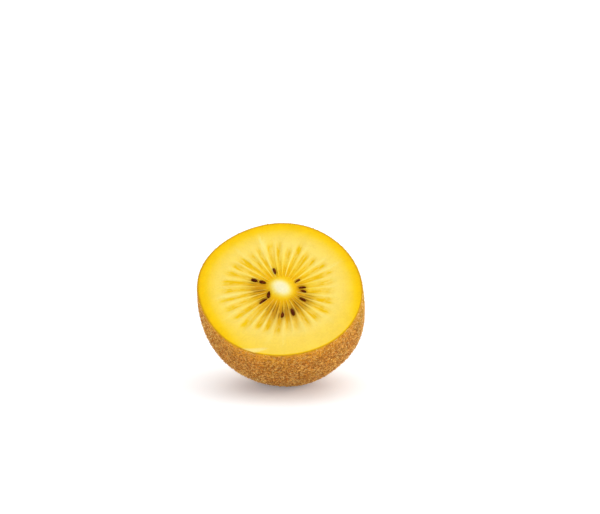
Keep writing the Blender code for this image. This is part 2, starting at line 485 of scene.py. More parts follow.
def makeSeed():
    # one flattened drop, a unit long, with its point at -X
    deselectAll()
    bpy.ops.mesh.primitive_uv_sphere_add(segments=seeds["sides"], ring_count=seeds["rings"], radius=0.5)
    seed = bpy.context.object
    points = readPoints(seed) * mm
    x, y, z = points.T
    narrowing = 1 - seeds["point"] * (0.5 - z) - seeds["pinch"] * ease(-z * 2 - 0.35)
    belly = 1 - seeds["flatten"] * ease(-z * 2 - 0.2)
    points = np.column_stack((z, x * narrowing, y * belly))
    points[:, 1] += seeds["ridge"] * np.exp(-(y / seeds["ridgeWidth"]) ** 2) * np.sign(x) * ease(np.abs(x) * 4)
    writePoints(seed, points / mm)
    return seed


def sowSeeds():
    pattern = makeSeed()
    sown = []
    for number, distance, turn, length, width, sunk in seeds["places"]:
        seed = pattern.copy()
        seed.data = pattern.data.copy()
        scene.collection.objects.link(seed)
        centre, angle = seedCentre(number, distance)
        level = seeds["shows"] - seeds["thickness"] / 2 - seeds["bedDepth"] - sunk
        seed.scale = (length * mm, width * mm, seeds["thickness"] * mm)
        seed.rotation_euler = (0, 0, angle + math.radians(turn))
        seed.location = (centre[0] * mm, centre[1] * mm, level * mm)
        sown.append(seed)
    bpy.data.objects.remove(pattern)
    pick(sown[0])
    for seed in sown:
        seed.select_set(True)
    bpy.ops.object.transform_apply(location=True, rotation=True, scale=True)
    bpy.ops.object.join()
    joined = bpy.context.object
    joined.name = joined.data.name = "kiwiSeeds"
    editAll(bpy.ops.mesh.normals_make_consistent, inside=False)
    layDown(joined)
    return joined


def makeSeedFinish():
    material, tree, shader = newMaterial("seedCoat", Specular_IOR_Level=0.04)
    patches = addPatches(tree, (1, 0), seeds["patchSize"], 0.4)
    colour = mixColour(tree, (3, 0), patches, tone(seeds["dark"]), tone(seeds["brown"]))
    pits = addGrains(tree, (3, 2), seeds["pitSize"], 0.3)["Height"]
    feed(tree, shader, Base_Color=colour, Roughness=remap(tree, (3, 1), patches, *seeds["gloss"]),
         Normal=roughen(tree, (5, 2), pits, 0.25, seeds["pitDepth"]))
    return material


kiwiSeeds = sowSeeds()
kiwiSeeds.data.materials.append(makeSeedFinish())
print("seeds sown")

# the flesh: the cut face, on a body that fills the skin

flesh = {
    "edge": 24.82, "steps": 560, "rings": 137, "bowlRings": 14, "underSkin": 0.45, "underStem": 1.8,
    # from the flat face, that ends this far in, over its edge: out from the edge, and height
    "flatEnd": 0.30, "lip": ((-0.14, -0.02), (0, -0.12), (-0.1, -0.5)),
    "coreRise": 0.35, "coreRadius": 3.0, "coreEdge": 2.84,
    "coreWaves": ((1, 0.22, 165), (2, 0.40, -90), (4, 0.06, 172)), "coreWavesEnd": 7, "coreWavesOver": 3.5,
    # the streaks lean a little, by this many degrees a millimetre, about this distance from the core
    "streakLean": 0.37, "leanTurn": 95, "leanAt": 12.75, "leanFrom": 5,
    "chamberDepth": 0.28, "chamberStart": 4.3, "startSoft": (1.8, 0.4), "tipSoft": (3.8, 0.45),
    "chamberReach": 17.1, "reachTurn": 1.2, "shortSide": 20, "reachSpread": 1.3,
    # limits of each chamber's own width, sideways drift and strength of colour
    "widthDraw": (0.80, 1.12), "driftDraw": (-0.20, 0.20), "inkDraw": (0.55, 1.05),
    # the juice gathers near the tip: by how much, how far along, over what spread
    "tipInk": (0.18, 0.84, 0.14),
    # half width of a chamber, in half steps from one to the next, from its start to its tip
    "chamberWidth": ((0, 0.94), (0.2, 0.82), (0.5, 0.66), (0.8, 0.64), (1, 0.50)),
    "softInside": 0.46, "softOutside": 0.80,
    # half width of the pale rib between two chambers, in steps, by radius
    "ribWidth": ((4.5, 0.10), (8, 0.075), (12, 0.09), (17, 0.17)),
    "ribReach": (15.0, 22.0), "ribStrength": (0.15, 1.0), "ribStretch": (0.7, 1.4), "ribShift": (-0.10, 0.10),
    "ribStart": (4.2, 1.2), "ribFade": (5, 0.3),
    # where the jelly is browner: angle, half spread in degrees, radius, half spread in mm, strength
    "shaded": ((180, 21, 7.0, 2.1, 0.95), (235, 24, 7.2, 2.6, 0.65), (277, 22, 8.9, 2.3, 0.95),
               (322, 20, 7.7, 2.3, 0.95), (2, 15, 5.7, 1.1, 0.95), (277, 30, 13.0, 3.0, 0.22)),
    # where dark threads show beside the ribs: angle from, angle to, radius from, radius to
    "threaded": ((164, 203, 5.0, 9.6), (205, 228, 5.5, 8.0), (243, 294, 6.0, 11.8), (298, 352, 5.2, 10.6)),
    "threadSoft": (12, 2.6), "threadAt": 0.20, "threadWidth": 0.09, "threadThin": 0.35,
    "haloReach": 0.9, "haloShare": 0.6, "haloSunk": 1.6, "haloDepth": 0.10,
    # the sliver that the knife lifted, a shallow dip in the face that also carries a painted highlight: its turn,
    # its slant, then radius and half spread at its two ends
    "nickTurn": 249, "nickSlant": 4.8, "nickInside": (22.5, 2.5), "nickAtEdge": (25, 5),
    "nickSoft": (3, 1.1), "nickDepth": 0.12,
    "dim": 0.805, "ringScale": 25,
    # radius in mm and the colour there: the core, then between the chambers and inside them, then the rim
    "core": ((0.0, (255, 248, 206)), (1.6, (255, 246, 194)), (2.2, (255, 240, 160)), (2.7, (254, 231, 118)),
             (3.2, (253, 219, 70))),
    "septa": ((3.8, (252, 207, 28)), (4.5, (252, 202, 6)), (5.2, (255, 209, 20)), (7.0, (255, 215, 46)),
              (9.0, (255, 220, 70)), (11.5, (255, 225, 94)), (14.5, (255, 227, 110)), (17.0, (255, 226, 110)),
              (19.4, (255, 222, 94))),
    "chambers": ((3.8, (249, 201, 20)), (4.5, (246, 190, 0)), (5.2, (244, 183, 0)), (7.0, (244, 187, 0)),
                 (9.0, (246, 193, 0)), (11.5, (245, 194, 2)), (14.5, (245, 196, 0)), (17.0, (248, 203, 4)),
                 (19.4, (253, 218, 56))),
    "rim": ((21.2, (255, 217, 66)), (22.3, (255, 212, 30)), (23.2, (255, 207, 4)), (24.0, (252, 202, 0)),
            (24.3, (246, 194, 0)), (24.55, (222, 168, 0))),
    # where the deep yellow at the rim stays away: angle, half spread in degrees, share taken off
    "paleRim": (288, 52, 0.85), "paleFrom": 19.5, "rimLine": (24.60, 0.35),
    "ribTone": (255, 240, 142), "shadeTone": (194, 156, 130), "thread": (96, 52, 0), "halo": (124, 74, 0),
    # the sliver's pale tone and its share are a painted highlight, light glancing off the cut edge
    "nickAndHighlightTone": (255, 234, 146), "threadShare": 0.62, "haloTint": 0.38, "nickAndHighlightShare": 0.75, "dullShare": 0.55,
    # how the threads and the flecks break up the streaks, the ribs and the dark threads
    "fleckBreak": (0.34, 0.62, 0.50, 1.2), "threadBreak": (0.36, 0.60, 0.55, 1.15),
    "ribBreak": (0.36, 0.58, 0.15, 0.95), "darkBreak": (0.56, 0.44, 0, 1),
    "growthTurn": 4.77, "growthReach": 24, "unevenRings": 0.022,
    "patchSize": 3, "patchShade": (0, 1, 0.955, 1.03), "gloss": (0, 1, 0.36, 0.50),
    "cellSize": 0.42, "cellDepth": 0.12,
}


def fleshProfile():
    profile = [(radius, 0.0) for radius in np.linspace(0, flesh["edge"] - flesh["flatEnd"], flesh["rings"])]
    profile += [(flesh["edge"] + out, height) for out, height in flesh["lip"]]
    # under the skin and round to the middle of the stem end
    depth = fruit["halfLength"] - flesh["underStem"]
    for ring in range(1, flesh["bowlRings"]):
        along = math.sin(math.pi / 2 * ring / flesh["bowlRings"])
        profile.append((skinRadius(along) - flesh["underSkin"], -depth * along))
    return profile + [(0.0, -depth)]


def degreesFrom(angle, turn):
    # how far round each point is from a turn, -180 to 180 degrees
    return (np.degrees(angle) - turn + 180) % 360 - 180


def leaned(radius, number, angle):
    # the chamber number that a point belongs to, once the lean of the streaks is allowed for
    inside = flesh["leanAt"] - np.maximum(radius, flesh["leanFrom"])
    lean = flesh["streakLean"] * inside * np.cos(2 * (angle - math.radians(flesh["leanTurn"])))
    return number - lean / (360 / fruit["chambers"])


def chamberMask(radius, number, angle):
    # 1 inside a chamber, 0 on the ribs between: wide by the core, then a brush stroke with a soft tip
    draw = np.random.default_rng(7)
    count, start = fruit["chambers"], flesh["chamberStart"]
    reachDraw = draw.uniform(-1, 1, count) * flesh["reachSpread"]
    widthDraw = draw.uniform(*flesh["widthDraw"], count)
    driftDraw = draw.uniform(*flesh["driftDraw"], count)
    inkDraw = draw.uniform(*flesh["inkDraw"], (3, count))
    own = np.round(number).astype(int) % count
    shorter = flesh["reachTurn"] * np.cos(angle - math.radians(flesh["shortSide"]))
    reach = flesh["chamberReach"] - shorter + reachDraw[own]
    drift = driftDraw[own] * (ease((radius - 4) / 12) - 0.4)
    across = np.abs(number + drift - np.round(number)) * 2
    along = np.clip((radius - start) / (reach - start), 0, 1.3)
    width = np.interp(along, *zip(*flesh["chamberWidth"])) * widthDraw[own]
    soft = flesh["softInside"] + (flesh["softOutside"] - flesh["softInside"]) * along
    inside = ease((width - across) / soft + 0.5)
    # each is stronger or weaker at its start, its middle and its tip
    ink = sum(inkDraw[k][own] * np.clip(1 - np.abs(along * 2.2 - k), 0, 1) for k in range(3))
    strength, place, spread = flesh["tipInk"]
    ink = ink + strength * np.exp(-((along - place) / spread) ** 2)
    startOver, startFrom = flesh["startSoft"]
    tipOver, tipFrom = flesh["tipSoft"]
    ends = ease((radius - start) / startOver + startFrom) * ease((reach - radius) / tipOver + tipFrom)
    return inside * ends, inside * ends * ink


def ribMask(radius, number):
    # the pale walls between the chambers, some strong and some hardly there
    draw = np.random.default_rng(11)
    count = fruit["chambers"]
    strength, stretch, reach, shift = (draw.uniform(*flesh[name], count) for name in (
        "ribStrength", "ribStretch", "ribReach", "ribShift"))
    own = np.floor(number).astype(int) % count
    across = number - np.floor(number) - 0.5 + shift[own]
    width = np.interp(radius, *zip(*flesh["ribWidth"])) * stretch[own]
    start, startOver = flesh["ribStart"]
    fadeOver, fadeFrom = flesh["ribFade"]
    ends = ease((radius - start) / startOver) * ease((reach[own] - radius) / fadeOver + fadeFrom)
    return strength[own] * np.exp(-(across / width) ** 2) * ends


def window(value, low, high, soft):
    # 1 between two limits and 0 outside them, with soft ends
    return ease((value - low) / soft + 0.5) * ease((high - value) / soft + 0.5)


def shadeMask(radius, angle):
    # how brown the jelly is, in a few soft patches round the core
    amount = 0
    for turn, spread, reach, depth, strength in flesh["shaded"]:
        away = degreesFrom(angle, turn)
        amount = amount + strength * np.exp(-(away / spread) ** 4 / 2 - ((radius - reach) / depth) ** 2 / 2)
    return np.clip(amount, 0, 1)


def threadMask(radius, number, angle):
    # dark threads lie close beside the ribs, and thinly through the rest of a chamber
    degrees = np.degrees(angle) % 360
    turnSoft, radiusSoft = flesh["threadSoft"]
    across = np.abs(number - np.floor(number) - 0.5)
    beside = np.exp(-((across - flesh["threadAt"]) / flesh["threadWidth"]) ** 2)
    beside = beside + flesh["threadThin"] * (across > flesh["threadAt"])
    return beside * sum(window(degrees, turnFrom, turnTo, turnSoft) * window(radius, start, end, radiusSoft)
                        for turnFrom, turnTo, start, end in flesh["threaded"])


def nickAndHighlightMask(radius, angle):
    # a thin sliver lifted by the knife at the rim: a shallow dip, where the pale colour is a painted highlight
    inner, atEdge = flesh["nickInside"], flesh["nickAtEdge"]
    turnSoft, radiusSoft = flesh["nickSoft"]
    middle = flesh["nickTurn"] + (atEdge[0] - radius) * flesh["nickSlant"]
    half = np.interp(radius, (inner[0], atEdge[0]), (inner[1], atEdge[1]))
    away = degreesFrom(angle, middle)
    return ease((half - np.abs(away)) / turnSoft + 0.5) * ease((radius - inner[0]) / radiusSoft + 0.5)


def seedHalo(x, y):
    # how near each point of the face is to a seed, more round one that lies deep
    near = np.zeros(len(x))
    for number, distance, turn, length, width, sunk in seeds["places"]:
        centre, angle = seedCentre(number, distance)
        turned = angle + math.radians(turn)
        along = (x - centre[0]) * np.cos(turned) + (y - centre[1]) * np.sin(turned)
        aside = -(x - centre[0]) * np.sin(turned) + (y - centre[1]) * np.cos(turned)
        off = np.hypot(along / (length / 2), aside / (width / 2)) - 1
        share = flesh["haloShare"] + sunk * flesh["haloSunk"]
        near = np.maximum(near, np.clip(1 - off / flesh["haloReach"], 0, 1) * share)
    return near


def makeFlesh():
    piece = turnProfile("kiwiFlesh", fleshProfile(), flesh["steps"])
    points = readPoints(piece)
    radius, number, angle = polar(points)
    onFace = points[:, 2] > -0.3
    streak = leaned(radius, number, angle)
    chamber, ink = (mask * onFace for mask in chamberMask(radius, streak, angle))
    coreBulge = waves(flesh["coreWaves"], angle) * np.minimum(radius / flesh["coreEdge"], 1)
    ring = radius - coreBulge * ease((flesh["coreWavesEnd"] - radius) / flesh["coreWavesOver"])
    middle, spread, share = flesh["paleRim"]
    line, lineOver = flesh["rimLine"]
    held = np.clip(radius - flesh["paleFrom"], 0, None) * ease((line - radius) / lineOver)
    ring -= share * np.exp(-(degreesFrom(angle, middle) / spread) ** 4) * held
    core = np.exp(-(ring / flesh["coreRadius"]) ** 4)
    nickAndHighlight = nickAndHighlightMask(radius, angle)
    height = flesh["coreRise"] * core - flesh["chamberDepth"] * chamber - flesh["nickDepth"] * nickAndHighlight
    face = growFace(points, height)
    halo = seedHalo(face[:, 0], face[:, 1]) * onFace
    face[:, 2] -= flesh["haloDepth"] * halo
    writePoints(piece, np.where(onFace[:, None], face, growSkin(points)))
    paint(piece, "ring", np.where(onFace, ring, 24.9) / flesh["ringScale"])
    for name, mask in (("chamber", ink), ("rib", ribMask(radius, streak)), ("shade", shadeMask(radius, angle)),
                       ("thread", threadMask(radius, streak, angle)), ("halo", halo), ("nickAndHighlight", nickAndHighlight)):
        paint(piece, name, mask * onFace)
    # where the threads' pattern is read: about one step a chamber across, and stretched outwards
    turn = math.tau * streak / fruit["chambers"]
    paint(piece, "growth", np.column_stack((
        flesh["growthTurn"] * np.cos(turn), flesh["growthTurn"] * np.sin(turn), radius / flesh["growthReach"])))
    layDown(piece)
    return piece


def makeFleshFinish():
    material, tree, shader = newMaterial("wetFlesh", Specular_IOR_Level=0.05, Subsurface_Weight=0.15,
                                         Subsurface_Scale=0.0004)
    shader.inputs["Subsurface Radius"].default_value = (1.0, 0.6, 0.2)
    layer = {name: readLayer(tree, (0, row), name) for row, name in enumerate(
        ("ring", "chamber", "rib", "shade", "thread", "halo", "nickAndHighlight"))}
    growth = readLayer(tree, (0, 8), "growth", "Vector")
    # long threads that run outwards, and shorter flecks in them
    noise = addNode(tree, "TexNoise", (1, 2))
    feed(tree, noise, Vector=growth, Scale=4.6, Detail=3.0, Roughness=0.65)
    threads = noise.outputs[0]
    longer = addNode(tree, "VectorMath", (1, 4), operation="MULTIPLY")
    give(tree, longer.inputs[0], growth)
    give(tree, longer.inputs[1], (1, 1, 3.2))
    flecks = addNode(tree, "TexNoise", (1.5, 4))
    feed(tree, flecks, Vector=longer.outputs[0], Scale=2.3, Detail=2.0, Roughness=0.5)
    centred = mathNode(tree, "SUBTRACT", (2, 1), threads, 0.5)
    shift = times(tree, (2, 0), centred, flesh["unevenRings"])
    uneven = mathNode(tree, "ADD", (3, 0), layer["ring"], shift)
    septa, inside = (rampColour(tree, (4, row), uneven, [
        (radius / flesh["ringScale"], colour) for radius, colour in flesh["core"] + flesh[name] + flesh["rim"]],
        flesh["dim"]) for row, name in enumerate(("septa", "chambers")))
    broken = times(tree, (3, 4), remap(tree, (2, 3), flecks.outputs[0], *flesh["fleckBreak"]),
                   remap(tree, (2, 4), threads, *flesh["threadBreak"]))
    depth = times(tree, (4, 2), layer["chamber"], broken, clamp=True)
    colour = mixColour(tree, (5, 0), depth, septa, inside)
    # the browner patches, then the pale ribs, then the dark threads, the seeds' beds and the painted highlight on
    # the sliver
    shadeTone = [value / 255 for value in flesh["shadeTone"]] + [1]
    colour = mixColour(tree, (6, 0), layer["shade"], colour, shadeTone, "MULTIPLY")
    rib = times(tree, (4, 4), layer["rib"], remap(tree, (3, 5), threads, *flesh["ribBreak"]))
    dull = mathNode(tree, "SUBTRACT", (4, 5), 1.0, times(tree, (3, 6), layer["shade"], flesh["dullShare"]))
    dark = times(tree, (4, 7), layer["thread"], remap(tree, (3, 7), threads, *flesh["darkBreak"]), clamp=True)
    for row, (mask, share, name) in enumerate((
            (rib, dull, "ribTone"), (dark, flesh["threadShare"], "thread"),
            (layer["halo"], flesh["haloTint"], "halo"), (layer["nickAndHighlight"], flesh["nickAndHighlightShare"], "nickAndHighlightTone"))):
        amount = times(tree, (5, 6 + row), mask, share)
        colour = mixColour(tree, (7 + row, 0), amount, colour, tone(flesh[name], flesh["dim"]))
    patches = addPatches(tree, (5, 5), flesh["patchSize"], 0.5)
    shade = addNode(tree, "CombineColor", (7, 6))
    for socket in shade.inputs[:3]:
        give(tree, socket, remap(tree, (6, 6), patches, *flesh["patchShade"]))
    colour = mixColour(tree, (11, 1), 1.0, colour, shade.outputs[0], "MULTIPLY")
    # cells and threads in the wet surface
    cells = addGrains(tree, (4, 9), flesh["cellSize"], 0.5)["Height"]
    raised = mathNode(tree, "ADD", (6, 9), times(tree, (5, 10), cells, 0.5),
                      times(tree, (5, 11), threads, 0.8))
    feed(tree, shader, Base_Color=colour, Normal=roughen(tree, (7, 9), raised, 0.35, flesh["cellDepth"]),
         Roughness=remap(tree, (7, 3), patches, *flesh["gloss"]))
    return material


kiwiFlesh = makeFlesh()
kiwiFlesh.data.materials.append(makeFleshFinish())
print("flesh cut")

# the skin

skin = {
    "inset": 0.15, "thickness": 0.38, "steps": 440, "rings": 150, "innerRings": 18,
    # the cut edge, out from the rim's radius and height, and the radii of the rings by the stem end
    "lip": ((-0.38, -0.6), (-0.33, -0.12), (-0.22, -0.03), (-0.10, -0.06), (0, -0.22)),
    "stemRings": (6.2, 5.9, 5.6, 5.4, 5.25, 5.12, 5.0, 4.85),
    "lumpSize": 1.6, "lumpHeight": 0.16, "lumpMiddle": 0.6, "smoothRim": 1.2,
    "brown": (204, 129, 36), "dark": (124, 68, 8), "golden": (255, 204, 100), "olive": (198, 144, 30),
    # towards the back and the upper side: broad golden patches, partly the skin's own colour and partly painted
    # light, as that side is lit and the front towards the floor stays browner as painted shade, and paler flecks
    # that are painted highlights
    "goldenLitFrom": 8, "goldenLitOver": 19, "goldenLitShare": 0.9, "goldenLitFleck": (255, 238, 168), "highlightFleckShare": 0.6,
    "goldenLit": ((0.34, (232, 148, 40)), (0.46, (248, 180, 14)), (0.56, (240, 176, 6)), (0.66, (214, 162, 6))),
    "roundStem": (255, 200, 112), "stemFrom": 5, "stemReach": 12, "stemShare": 0.7,
    # painted light: near the cut the skin is tinted orange-gold, a painted glow of light coming through the flesh
    # at the rim
    "rimPaintedGlow": (232, 160, 20), "glowReach": 6, "glowPaintShare": 0.65, "cutEdge": (196, 142, 8),
    # sizes, then each pattern's limits: from, to, and the shares there
    "patchSize": 6, "broadSize": 13, "speckSize": 0.85, "fineSize": 0.42, "boldSize": 0.98,
    "olivePatch": (0.3, 1, 0, 0.6), "speckGap": (0.40, 0, 0, 0.70), "speckTop": (0.30, 0.75, 0, 0.9),
    "fineTop": (0.35, 0.8, 0, 0.7), "boldGap": (0.42, 0.08, 0, 0.55), "boldTop": (0.34, 0.66, 0, 0.58),
    "gloss": (0, 1, 0.78, 0.58), "sheen": (240, 205, 150), "bumpDepth": 0.18,
}


def skinProfile():
    inset, wall = skin["inset"], skin["thickness"]
    depth = fruit["halfLength"] - inset
    profile = [(fruit["rimRadius"] - inset + out, height) for out, height in skin["lip"]]
    last = math.asin(shareAtRadius(fruit["buttonRadius"]))
    for ring in range(1, skin["rings"] + 1):
        along = math.sin(last * ring / skin["rings"])
        profile.append((skinRadius(along) - inset, -depth * along))
    for radius in skin["stemRings"]:
        profile.append((radius, -depth * shareAtRadius(radius) - buttonHeight(radius)))
    for ring in range(skin["innerRings"], 0, -1):
        along = math.sin(last * ring / skin["innerRings"])
        profile.append((skinRadius(along) - inset - wall, -(depth - wall) * along))
    return profile + profile[:1]


def goldenLitSide(points):
    # 1 towards the back and the upper side, 0 towards the front and the floor: where the skin is painted lighter
    # and more golden, partly its own colour and partly painted light
    return ease((points[:, 2] + 0.5 * points[:, 1] - skin["goldenLitFrom"]) / skin["goldenLitOver"])


def makeSkin():
    piece = turnProfile("kiwiSkin", skinProfile(), skin["steps"])
    points = readPoints(piece)
    level = points[:, 2]
    radius = np.hypot(points[:, 0], points[:, 1])
    share = np.clip(-level / (fruit["halfLength"] - skin["inset"]), 0, 1)
    outerRadius = np.where(radius > fruit["buttonRadius"], skinRadius(share) - skin["inset"], 0)
    outer = (radius > outerRadius - 0.12) & (level < -0.1)
    writePoints(piece, growSkin(points))
    paint(piece, "outer", outer * 1.0)
    paint(piece, "underRim", 1 - ease(-level / skin["glowReach"]))
    paint(piece, "cut", ease((level + 0.40) / 0.22))
    paint(piece, "stem", ease(1 - (radius - skin["stemFrom"]) / skin["stemReach"]) * (level < -20))
    # low lumps, by a Displace modifier held back at the rim
    group = piece.vertex_groups.new(name="lumps")
    tenths = np.round(outer * ease(-level / skin["smoothRim"]) * 10)
    for tenth in range(1, 11):
        members = np.nonzero(tenths == tenth)[0]
        if len(members):
            group.add(members.tolist(), tenth / 10, "REPLACE")
    clouds = bpy.data.textures.new("skinLumps", "CLOUDS")
    clouds.noise_scale = skin["lumpSize"] * mm
    clouds.noise_depth = 2
    lumps = piece.modifiers.new("lumps", "DISPLACE")
    lumps.texture = clouds
    lumps.texture_coords = "LOCAL"
    lumps.strength = skin["lumpHeight"] * mm
    lumps.mid_level = skin["lumpMiddle"]
    lumps.vertex_group = group.name
    pick(piece)
    bpy.ops.object.modifier_apply(modifier=lumps.name)
    layDown(piece)
    # where the skin is painted lighter and golder on the upper side, partly its own colour and partly painted
    # light
    paint(piece, "goldenLit", goldenLitSide(readPoints(piece)))
    return piece


def makeSkinFinish():
    material, tree, shader = newMaterial("fuzzySkin", Sheen_Weight=0.10, Sheen_Roughness=0.45,
                                         Specular_IOR_Level=0.18)
    shader.inputs["Sheen Tint"].default_value = tone(skin["sheen"])
    patches = addPatches(tree, (1, 0), skin["patchSize"], 0.3)
    broad = addPatches(tree, (1, -2), skin["broadSize"], 0.3)
    specks = addGrains(tree, (1, 1), skin["speckSize"], 1.1)
    fine = addGrains(tree, (1, 2), skin["fineSize"], 1.0)
    bold = addGrains(tree, (1, 3), skin["boldSize"], 1.5)
    goldenLit = readLayer(tree, (0, 4), "goldenLit")
    nearStem = times(tree, (2, -3), readLayer(tree, (1, -3), "stem"), skin["stemShare"])
    # brown and olive, then the broad golden patches of the back and the upper side, partly the skin's own colour
    # and partly painted light, paler round the stem end
    colour = stain(tree, (3, 0), tone(skin["brown"]), tone(skin["olive"]), patches, skin["olivePatch"])
    golden = rampColour(tree, (2, -2), broad, skin["goldenLit"])
    golden = mixColour(tree, (3, -2), nearStem, golden, tone(skin["roundStem"]))
    share = times(tree, (2, -1), goldenLit, skin["goldenLitShare"])
    share = mathNode(tree, "MAXIMUM", (3, -1), share, nearStem)
    colour = mixColour(tree, (4, -2), share, colour, golden)
    # dark gaps and pale tops, bold ones only towards the back and the stem end; on the upper side the tops are
    # made paler, as painted highlights
    dark = tone(skin["dark"])
    pale = times(tree, (3, -4), goldenLit, skin["highlightFleckShare"])
    fleck = mixColour(tree, (4, -4), pale, tone(skin["golden"]), tone(skin["goldenLitFleck"]))
    for column, (over, pattern, limits) in enumerate((
            (dark, specks["Height"], "speckGap"), (fleck, specks["Tint"], "speckTop"),
            (fleck, fine["Tint"], "fineTop"))):
        colour = stain(tree, (5 + column, 0), colour, over, pattern, skin[limits])
    for column, (over, pattern, limits) in enumerate((
            (dark, bold["Height"], "boldGap"), (fleck, bold["Tint"], "boldTop"))):
        shown = remap(tree, (6 + column, 3), pattern, *skin[limits])
        shown = times(tree, (7 + column, 3), share, shown)
        colour = mixColour(tree, (8 + column, 0), shown, colour, over)
    # painted light: the skin just under the cut is tinted orange-gold, as if light came through the flesh there
    glow = times(tree, (9, 5), readLayer(tree, (8, 5), "underRim"), skin["glowPaintShare"])
    colour = mixColour(tree, (10, 0), glow, colour, tone(skin["rimPaintedGlow"]))
    colour = mixColour(tree, (11, 0), readLayer(tree, (10, 5), "cut"), colour, tone(skin["cutEdge"]))
    raised = mathNode(tree, "ADD", (4, 3), specks["Height"], times(tree, (3, 3), fine["Height"], 0.4))
    feed(tree, shader, Base_Color=colour, Normal=roughen(tree, (6, 5), raised, 0.8, skin["bumpDepth"]),
         Roughness=remap(tree, (5, 4), specks["Tint"], *skin["gloss"]))
    return material


kiwiSkin = makeSkin()
kiwiSkin.data.materials.append(makeSkinFinish())
print("skin grown")

# the stem end: the corky scar in its dark groove

stemEnd = {
    "edge": 5.12, "steps": 300, "ringCount": 64, "inset": 0.10,
    # its edge turns in under the skin: from this radius, over this width, by this much
    "tuck": (4.85, 0.27, 0.9),
    "inside": ((4.9, 2.2), (2.5, 2.4), (0, 2.4)),   # radius, and how far in, of the hidden side
    "relief": 0.20, "flakeRelief": 0.15, "pitRelief": 0.12, "reliefLimits": (-0.5, 0.30),
    "pitRadius": 1.9, "wander": 0.055, "waver": 0.05,
    # share of the way out, and the tone there
    "rings": ((0.0, "ash"), (0.08, "pit"), (0.20, "pit"), (0.28, "ash"), (0.36, "paleCork"), (0.54, "tan"),
              (0.62, "tan"), (0.71, "purple"), (0.79, "purple"), (0.84, "groove"), (1.0, "groove")),
    "tan": (232, 164, 104), "purple": (146, 96, 78), "paleCork": (240, 190, 132), "ash": (112, 96, 84),
    "groove": (58, 26, 12), "pit": (48, 28, 14),
    "patchSize": 1.4, "grainSize": 0.3, "bumpDepth": 0.2, "ringWander": 0.12,
    "flakeGap": (0.46, 0.22, 0, 0.85), "flakeTop": (0.55, 0.9, 0, 0.7), "topsEnd": (0.80, 0.68),
    "grainGap": (0.3, 0, 0, 0.35), "gloss": (0, 1, 0.85, 0.65),
}


def makeStemEnd():
    depth = fruit["halfLength"] - stemEnd["inset"]
    tuckFrom, tuckOver, tuck = stemEnd["tuck"]
    profile = []
    for ring in np.linspace(0, stemEnd["edge"], stemEnd["ringCount"]):
        tucked = tuck * float(ease((ring - tuckFrom) / tuckOver))
        profile.append((ring, tucked - depth * shareAtRadius(ring) - buttonHeight(ring)))
    profile += [(ring, inwards - depth) for ring, inwards in stemEnd["inside"]]
    piece = turnProfile("stemEnd", profile, stemEnd["steps"])
    points = readPoints(piece)
    radius, _, angle = polar(points)
    outer = points[:, 2] < 1.9 - depth
    # ragged: broad wandering of the rings. flakes: short lifted scales of cork
    phases = np.random.default_rng(19).uniform(0, math.tau, 40)
    ragged = sum(np.cos((2 + 2 * k) * angle + phases[k] + radius * (0.5 + 0.3 * k)) / (1 + 0.45 * k)
                 for k in range(10)) / 2.6
    flakes = sum(np.cos((7 + 5 * k) * angle + phases[10 + k])
                 * np.cos(radius * (2.6 + 0.9 * k) + phases[20 + k]) for k in range(6)) / 3
    height = stemEnd["relief"] * ragged + stemEnd["flakeRelief"] * flakes
    height = height * window(radius, stemEnd["pitRadius"], 4.6, 0.7)
    height += stemEnd["pitRelief"] * flakes * ease((stemEnd["pitRadius"] - radius) / 0.5)
    points[:, 2] -= np.where(outer, np.clip(height, *stemEnd["reliefLimits"]), 0)
    points[:, :2] *= (1 + stemEnd["waver"] * ragged * window(radius, 1.0, 4.5, 0.8))[:, None]
    writePoints(piece, growSkin(points))
    wander = stemEnd["wander"] * ragged * window(radius, 0.5, 4.9, 0.8)
    paint(piece, "ring", radius / stemEnd["edge"] + wander)
    paint(piece, "flakes", flakes * 0.5 + 0.5)
    layDown(piece)
    return piece


def makeStemFinish():
    material, tree, shader = newMaterial("corkyScar", Specular_IOR_Level=0.2)
    ring, flakes = (readLayer(tree, (0, row), name) for row, name in enumerate(("ring", "flakes")))
    patches = addPatches(tree, (0, 2), stemEnd["patchSize"], 0.5)
    centred = mathNode(tree, "SUBTRACT", (1, 1), patches, 0.5)
    wander = times(tree, (2, 1), centred, stemEnd["ringWander"])
    colour = rampColour(tree, (3, 0), mathNode(tree, "ADD", (2, 0), ring, wander),
                        [(place, stemEnd[name]) for place, name in stemEnd["rings"]])
    # dark gaps between the flakes and paler tops, following their relief: darker where the flakes sink, paler
    # where they rise, and a fine grain
    groove = tone(stemEnd["groove"])
    colour = stain(tree, (4, 0), colour, groove, flakes, stemEnd["flakeGap"])
    tops = times(tree, (4, 2), remap(tree, (3, 2), flakes, *stemEnd["flakeTop"]),
                 remap(tree, (4, 3), ring, *stemEnd["topsEnd"]))
    colour = mixColour(tree, (5, 0), tops, colour, tone(stemEnd["paleCork"]))
    grain = addGrains(tree, (3, 3), stemEnd["grainSize"], 1.2)["Height"]
    colour = stain(tree, (6, 0), colour, groove, grain, stemEnd["grainGap"])
    raised = mathNode(tree, "ADD", (5, 3), grain, patches)
    feed(tree, shader, Base_Color=colour, Normal=roughen(tree, (6, 3), raised, 0.9, stemEnd["bumpDepth"]),
         Roughness=remap(tree, (5, 2), patches, *stemEnd["gloss"]))
    return material


stemPiece = makeStemEnd()
stemPiece.data.materials.append(makeStemFinish())
print("stem end made")

# the fuzz: one hair, laid thousands of times over the skin

